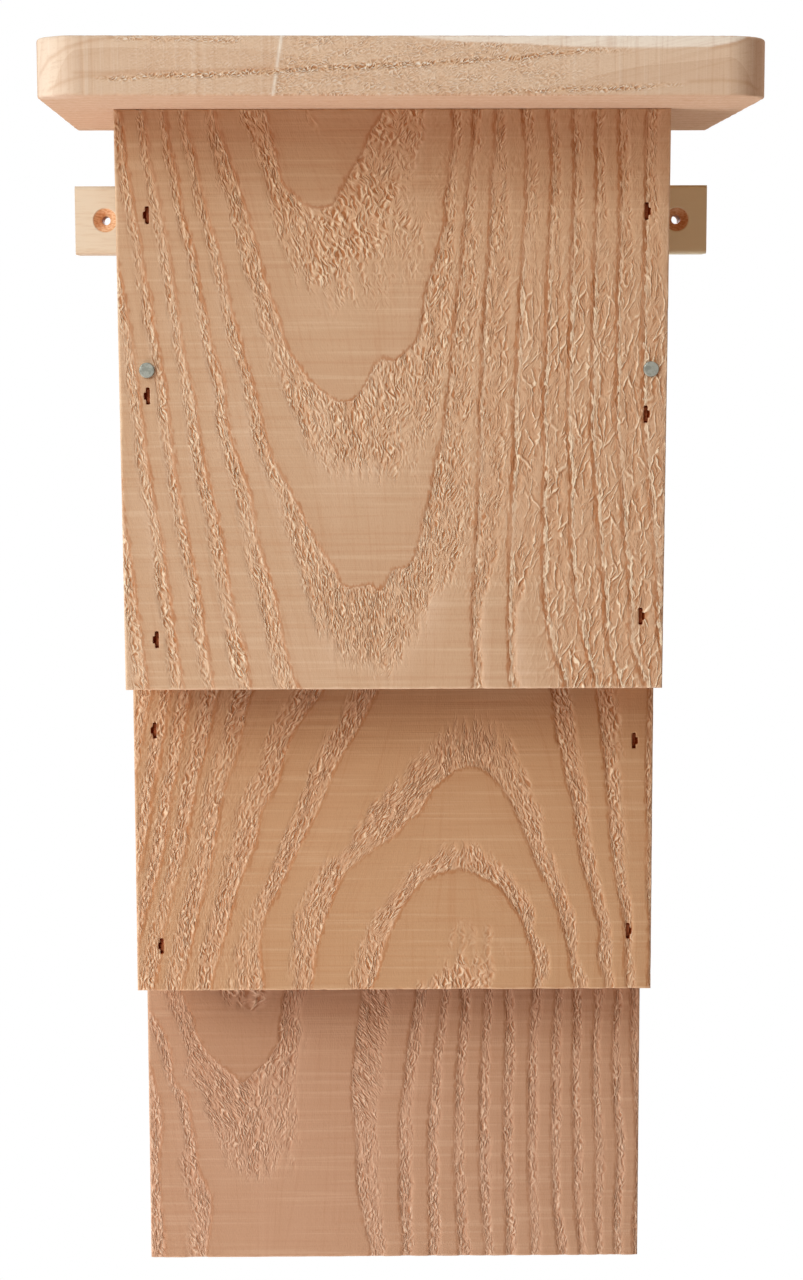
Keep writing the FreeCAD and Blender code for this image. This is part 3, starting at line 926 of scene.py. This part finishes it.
def sawn_wood(name, tones, seed, grain_z=True, figured=True, wild_part=False):
    """Rough-sawn softwood for a board that carries the figure's attributes.

    tones holds display colours: the plain wood early and late in a ring, then the torn wood's ground,
    its crests and the shade beside them, the line where a tear starts, and the end grain.
    """
    k = Looks(name)
    flow = k.attribute("flow", "Vector")
    names = ("torn", "seam", "high", "edge", "slot", "end", "ring", "wild")
    torn, seam, high, edge, dark, end, ring, wild = [k.attribute(a) for a in names]
    place = k.place()
    early, later, ground, crown, shade, line, end_tone = [srgb(*t) for t in tones]

    saw = k.cells(place, (70, 3, 1.5) if grain_z else (1.5, 3, 70), detail=2.5, rough=0.6)
    clouds = k.cells(flow, (22, 30, 60), detail=3, shift=(seed, 0, 0))
    streaks = k.cells(flow, (1.3, 4, 40), detail=3, shift=(0, seed, 0))
    flecks = k.cells(flow, (0.45, 0.6, 1.4), detail=1.5)
    part = k.math("FRACT", ring)
    age = k.add(k.span(part, 0.15, 0.65), k.times(k.less(clouds, 0.5), 2.0))
    plain = k.mix(k.math("MULTIPLY", age, 1.0, clamp=True), early, later)
    if not figured:
        # pale holds the planed band, the light step and a painted highlight on the roof's left end.
        plain = k.mix(k.attribute("pale"), plain, crown)
    for pattern, none, full, share, tone in (
        (streaks, 0.5, 0.75, 0.16, shade), (part, 0.7, 1.0, 0.10, line), (saw, 0.53, 0.68, 0.12, crown),
        (saw, 0.45, 0.33, 0.14, shade), (flecks, 0.55, 0.75, 0.12, shade),
    ):
        plain = k.mix(k.times(k.span(pattern, none, full), share), plain, tone)

    strong = k.span(k.cells(flow, (2.2, 3, 7), detail=2, shift=(9, seed, 0)), 0.32, 0.56)
    weak = k.span(k.cells(flow, (2.6, 3, 5), detail=2, shift=(0, seed, 9)), 0.35, 0.65, 0.35, 0.95)
    heights = [k.times(strong, 0.65), weak]
    if wild_part:
        lumps = k.cells(flow, (3, 3, 11), detail=2, shift=(4, seed, 7))
        heights.append(k.times(k.span(lumps, 0.3, 0.5), wild))

    def flat(vector):
        """The place on the face, warped so that the fibres wander."""
        u, y, v = k.parts(vector)
        plane = k.node("CombineXYZ", k.add(u, k.times(y, 0.6)), v).outputs[0]
        return k.warp(k.warp(plane, (6, 10, 1), 1.7), (1.5, 2.6, 1), 0.75)

    def braid(plane, beside):
        """Crests of lifted fibre, a few millimetres long, this far beside the place."""
        nets = []
        for height, (across, along, width, shift) in zip(heights, FIBRE_NETS):
            long = along if figured else along * ROOF_FIBRE_LENGTH
            net = k.net(plane, across, long, width, (beside / across + shift, seed))
            nets.append(k.times(net, height))
        crests = k.math("MAXIMUM", nets[0], nets[1])
        if wild_part:
            crests = k.math("MAXIMUM", k.times(crests, k.span(wild, 0.2, 1.0, 1.0, 0.6)), nets[2])
        return crests

    first = flat(flow)
    if figured:
        sway = k.attribute("sway")
        second = flat(k.attribute("flow_two", "Vector"))

    def crossed(beside):
        """The crests, in the second direction where that takes over."""
        crests = braid(first, beside)
        if not figured:
            return crests
        crests = k.times(crests, k.span(sway, 0.75, 0.35))
        return k.math("MAXIMUM", crests, k.times(braid(second, beside), k.span(sway, 0.25, 0.65)))

    # Painted shade and painted highlight: the flank of each crest away from the key lamp on the left gets the
    # shade colour, and the flank towards it gets the crest colour.
    fibres, beside = crossed(0.0), crossed(-SHADE_REACH)
    shaded = k.times(k.span(k.less(beside, fibres), -0.05, 0.45), k.span(wild, 0, 1, 0.9, 0.7))
    lit = k.span(k.less(fibres, k.times(beside, 0.7)), 0.2, 0.7)
    # Painted shade: the torn ground is darker where it lies deep, and over the wild right and lower part of
    # the front, where the key lamp's light falls off.
    torn_tone = k.mix(k.times(k.span(high, 0.8, 0.1), 0.22), ground, shade)
    torn_tone = k.mix(k.times(wild, 0.2), torn_tone, shade)
    torn_tone = k.mix(shaded, torn_tone, shade)
    torn_tone = k.mix(k.times(lit, 0.8), torn_tone, crown)
    raised = fibres
    if figured:
        lumps = k.cells(flow, (1.1, 1.4, 3.4), detail=2, shift=(5, 0, seed))
        near = k.math("DIVIDE", k.less(ring, k.math("ROUND", ring)), k.attribute("slope"))
        ragged = k.add(near, k.times(k.less(lumps, 0.5), 4.4))

        def line_at(distance, half):
            """A ragged line along the ring lines, this far into the torn side."""
            off = k.math("ABSOLUTE", k.less(ragged, distance))
            return k.times(k.span(off, half, half * 0.15), seam)

        stem = k.times(line_at(1.5, 0.75), k.math("MAXIMUM", wild, k.times(strong, 0.3)))
        raised = k.math("MAXIMUM", fibres, stem)
        torn_tone = k.mix(stem, torn_tone, crown)
        # The dark line by each ring line is partly the ring's own darker wood and partly painted shade of the
        # step down into the torn grain.
        drawn = k.times(line_at(0.1, 1.3), k.span(wild, 0, 1, 0.7, 0.85))
    else:
        drawn = k.times(seam, 0.3)
    tone = k.mix(k.math("MULTIPLY", torn, 1.15, clamp=True), plain, torn_tone)
    tone = k.mix(drawn, tone, line)

    pores = k.cells(place, (0.5, 0.5, 0.5), detail=2)
    grown = k.add(k.times(k.span(part, 0.3, 0.95), 0.55), k.times(k.span(pores, 0.4, 0.65), 0.3))
    tone = k.mix(end, tone, k.mix(grown, end_tone, line))
    worn = k.span(k.add(edge, k.times(k.cells(place, (4, 4, 4)), 1.4)), 1.9, 0.7)
    tone = k.mix(k.times(worn, 0.35), tone, crown)
    tone = k.mix(dark, tone, srgb(*SLOT_TONE))

    coarse = k.cells(place, (1.3, 1.3, 1.3), detail=3)
    sawn = k.times(k.less(1.0, torn), k.add(k.times(saw, 0.12), k.times(flecks, 0.06)))
    k.relief(k.add(k.times(torn, raised, FIBRE_HEIGHT), sawn, k.times(end, coarse, 0.25)))
    return k.finish(tone, k.span(torn, 0, 1, 0.68, 0.86), gloss=0.0)


def plain_wood(name, tones, grain, ring_size, seed, bump):
    """(looks, colour) of wood for a CAD board, its grain along one axis and its rings from the place."""
    k = Looks(name)
    place = k.place()
    light, deep, line = [srgb(*t) for t in tones]
    long, short = [9.0] * 3, [0.7] * 3
    long[grain], short[grain] = 160.0, 9.0
    across = [part for axis, part in enumerate(k.parts(place)) if axis != grain]
    wander = k.times(k.less(k.cells(place, long, detail=2, shift=(seed, 0, 0)), 0.5), 1.6)
    ring = k.add(k.times(across[0], 1 / ring_size), k.times(across[1], 0.45 / ring_size), wander)
    late = k.span(k.math("PINGPONG", ring, 1.0), 0.55, 1.0)
    fine = k.cells(place, short, detail=3, shift=(0, seed, 0))
    tone = k.mix(k.times(late, 0.55), light, deep)
    tone = k.mix(k.times(k.span(fine, 0.45, 0.75), 0.35), tone, line)
    k.relief(k.add(k.times(fine, bump), k.times(late, bump * 0.3)))
    return k, tone


def metal(name, tone, stain, roughness, metallic):
    """Dull plated steel with stains and fine scratches."""
    k = Looks(name)
    place = k.place()
    cloud = k.span(k.cells(place, (1.6, 1.6, 1.6), detail=4), 0.4, 0.65)
    scratch = k.cells(place, (0.12, 0.5, 1.4), detail=2, twist=0.6)
    colour = k.mix(k.times(cloud, 0.5), srgb(*tone), srgb(*stain))
    k.relief(k.add(k.times(scratch, 0.03), k.times(cloud, 0.02)))
    rough = k.span(k.add(k.times(cloud, 0.6), k.times(scratch, 0.4)), 0.2, 0.8, roughness, roughness + 0.25)
    return k.finish(colour, rough, gloss=0.5, metal=metallic)


front_wood = sawn_wood("sawn_front", [
    (213, 175, 142), (203, 163, 128), (217, 177, 141), (250, 224, 190), (176, 112, 68), (172, 108, 64),
    (205, 160, 120)], 3.0, wild_part=True)
middle_wood = sawn_wood("sawn_middle", [
    (198, 152, 113), (192, 147, 108), (209, 165, 129), (243, 211, 175), (168, 106, 64), (166, 106, 64),
    (202, 156, 117)], 11.0)
back_wood = sawn_wood("sawn_back", [
    (191, 148, 118), (185, 142, 111), (198, 155, 125), (229, 195, 164), (164, 112, 80), (165, 115, 82),
    (196, 151, 117)], 23.0)
roof_wood = sawn_wood("sawn_roof", [
    (222, 189, 158), (217, 183, 152), (221, 181, 144), (247, 232, 212), (180, 122, 80), (182, 124, 82),
    (210, 172, 136)], 31.0, grain_z=False, figured=False)


def front_reach(x, z):
    """(the share of a ring that is torn, the least that its rest is torn) on the front panel."""
    right, low = smooth(-10, 20, x), smooth(20, -45, z)
    calm = smooth(-118, -150, z) * smooth(68, 46, x) * right
    upper = smooth(-56, -42, x) * smooth(-50, -35, z)
    reach = 0.46 + right * (0.06 + 0.5 * low) - 0.75 * calm + 0.16 * upper * (1 - right)
    least = smooth(4, 24, x) * (0.2 + 0.26 * low + 0.3 * smooth(35, 62, x) * smooth(5, -60, z))
    return reach, least * (1 - 0.9 * calm)


def middle_reach(x, z):
    """The same on the middle panel, where the left side is torn more."""
    left = smooth(-45, -75, x)
    return 0.5 + 0.32 * left, 0.25 * left


def back_reach(x, z):
    """The same on the back panel, torn evenly."""
    return np.full(np.shape(x), 0.5), 0.0


def oval(x, z, centre, radii):
    """1 inside an upright oval and 0 outside."""
    return smooth(1.3, 0.7, np.hypot((x - centre[0]) / radii[0], (z - centre[1]) / radii[1]))


def front_crossing(x, z, part):
    """Where the fibres branch off to the upper right: beyond each ring line, right of the middle."""
    return smooth(-20, 0, x) * smooth(0.07, 0.26, part) * (0.42 + 0.7 * noise(x / 6, z / 10, 140))


def middle_crossing(x, z, part):
    """Where the fibres lean the other way, left of the figure's top."""
    return oval(x, z, (2, -240), (22, 40))


def back_crossing(x, z, part):
    """Where the fibres lean to the left, in two patches of the figure."""
    return np.maximum(oval(x, z, (-70, -342), (13, 26)), oval(x, z, (-8, -335), (13, 30)))


front = TaperedPanel(
    "front_panel", FRONT_RINGS, FRONT_LEANS, middle=-70, seed=100,
    reach=front_reach, second_lean=0.42, crossing=front_crossing)
middle = Panel(
    "middle_panel", MIDDLE_RINGS, MIDDLE_LEANS, middle=-240, seed=200,
    reach=middle_reach, second_lean=0.65, crossing=middle_crossing, lean_foot=-26.0)
back = Panel(
    "back_panel", BACK_RINGS, BACK_LEANS, middle=-365, seed=300,
    reach=back_reach, second_lean=-0.55, crossing=back_crossing)

# The grids' spacing, coarser while the scene is only tried.
TRIAL = 1.0
rear_slots = [(x, z, -1) for x, z, _ in staple_places("back")]
front.build(0.78 * TRIAL, 2.4, front_wood, slots=staple_places("front"))
middle.build(0.72 * TRIAL, 2.6, middle_wood, slots=staple_places("middle"), shown_from=-172, covered=3.5)
back.build(0.79 * TRIAL, 2.6, back_wood, rear_slots=rear_slots, shown_from=-296, covered=4)
Roof().build(roof_wood)


def dress(name, material):
    """Gives a CAD node its material."""
    mesh = frame["nodes"][name].data
    mesh.materials.clear()
    mesh.materials.append(material)


k, tone = plain_wood("sawn_strip", [(212, 172, 136), (190, 142, 102), (160, 108, 70)], 2, 7.0, 5.0, bump=0.3)
strip_wood = k.finish(tone, 0.8, gloss=0.05)
for side_name in ("left", "right"):
    dress("front_spacer_" + side_name, strip_wood)
    dress("rear_spacer_" + side_name, strip_wood)

# The batten: planed, with painted light on its right end, which lies in the box's shadow, and fresh wood in
# the mouth of each screw hole.
HOLE_X = 114.0
BATTEN_TONES = [(218, 197, 169), (206, 175, 141), (196, 160, 122)]
PAINTED_END_LIGHT = srgb(240, 228, 192)
k, tone = plain_wood("planed_batten", BATTEN_TONES, 0, 8.0, 9.0, bump=0.03)
place = k.place()
x, y, z = k.parts(place)
beside = k.less(k.math("ABSOLUTE", x), HOLE_X)
bore = k.math("SQRT", k.add(k.times(beside, beside), k.times(z, z)))
fresh = k.cells(place, (1.2, 3, 0.5), detail=3)
sunk = k.times(k.span(y, -14.8, -14.5), k.span(y, -0.2, -0.5))
mouth = k.times(k.span(k.add(bore, k.times(fresh, 0.6)), 5.5, 5.0), sunk)
tone = k.mix(mouth, tone, k.mix(k.span(fresh, 0.3, 0.7), srgb(234, 190, 148), srgb(206, 142, 94)))
# Painted light: the right end is mixed towards a pale tone, standing in for light where the box shades it.
tone = k.mix(k.times(k.span(x, 90, 100, 0.0, 0.85), k.less(1.0, mouth)), tone, PAINTED_END_LIGHT)
dress("hanging_batten", k.finish(tone, 0.6, gloss=0.1))

zinc = metal("zinc_nail", (152, 150, 138), (110, 107, 95), 0.42, 0.8)
bronze = metal("bronze_staple", (186, 100, 46), (120, 56, 24), 0.6, 0.0)
for name in frame["nodes"]:
    if "_nail_" in name:
        dress(name, zinc)
    elif "_staple_" in name:
        dress(name, bronze)

# The stage. Lengths here are metres, apart from the floor's glow, which fades in from its middle.
AMBIENT = (0.245, 0.142, 0.075, 1)
WHITE = (1, 1, 1, 1)
FLOOR_TONE = (0.82, 0.82, 0.82, 1)
FLOOR_LEVEL = -0.95
FLOOR_REACH = 1.5
GLOW_FROM, GLOW_TO = 350.0, 1050.0

world = bpy.data.worlds.new("studio")
bpy.context.scene.world = world
world.use_nodes = True
sky = Nodes(world.node_tree)
sky.feed(sky.tree.nodes["Background"].inputs["Color"], sky.mix(sky.seen_white(), AMBIENT, WHITE))

floor_mesh = bpy.data.meshes.new("floor")
corners = [(x * FLOOR_REACH, y * FLOOR_REACH, FLOOR_LEVEL) for x, y in ((-1, -1), (1, -1), (1, 1), (-1, 1))]
floor_mesh.from_pydata(corners, [], [(0, 1, 2, 3)])
put("floor", floor_mesh)
pale = Looks("pale_floor")
floor_mesh.materials.append(pale.finish(FLOOR_TONE, 0.9, gloss=0.1))
x, y, _ = pale.parts(pale.place())
far = pale.span(pale.math("SQRT", pale.add(pale.times(x, x), pale.times(y, y))), GLOW_FROM, GLOW_TO)
glow = pale.node("Emission")
faded = pale.node("MixShader", pale.times(far, pale.seen_white()), pale.shader.outputs[0], glow.outputs[0])
pale.feed(pale.tree.nodes["Material Output"].inputs[0], faded.outputs[0])


def lamp(name, place, facing, wide, tall, power, colour):
    """A soft rectangular lamp, its wide side level."""
    data = bpy.data.lights.new(name, "AREA")
    data.shape, data.size, data.size_y, data.energy = "RECTANGLE", wide, tall, power
    data.color = colour
    thing = put(name, data)
    thing.location = place
    thing.rotation_euler = Vector(facing).to_track_quat("-Z", "Y").to_euler()


# The key lamp stands in front, to the left and above. The others lift the shades.
lamp("key", (-1.95, -1.8, 0.75), (0, 1, -0.4), 1.9, 0.9, 48, (0.88, 1, 1))
lamp("soft", (-1.2, -1.75, 1.75), (0.55, 1, -0.95), 1.6, 1.8, 48, (0.62, 0.8, 1))
lamp("low_fill", (-0.58, -0.36, -0.78), (0.55, 0.18, 0.8), 0.6, 0.4, 5.2, (0.84, 0.76, 0.8))
lamp("rear_fill", (0.1, 2.4, 0.7), (0, -1, -0.3), 1.6, 1.2, 40, (0.96, 1, 1.08))
lamp("right_fill", (2.0, 1.3, 0.5), (-1, -0.55, -0.25), 1.0, 1.0, 26, (0.85, 0.95, 1.08))

# The camera, fitted to the corners of the boards in the photograph: its turns are in degrees.
CAMERA_PLACE = (-0.006087, -1.036657, -0.044357)
CAMERA_LENS = 71.105
CAMERA_PAN, CAMERA_TILT, CAMERA_ROLL = -0.547, 83.049, -0.143

camera = put("camera", bpy.data.cameras.new("camera"))
camera.data.lens = CAMERA_LENS
camera.data.sensor_width = 36.0
camera.location = CAMERA_PLACE
turn = Matrix.Identity(3)
for degrees, axis in ((CAMERA_PAN, "Z"), (CAMERA_TILT, "X"), (CAMERA_ROLL, "Z")):
    turn = turn @ Matrix.Rotation(math.radians(degrees), 3, axis)
camera.rotation_euler = turn.to_euler()
bpy.context.scene.camera = camera
bpy.context.scene.view_settings.view_transform = "Standard"
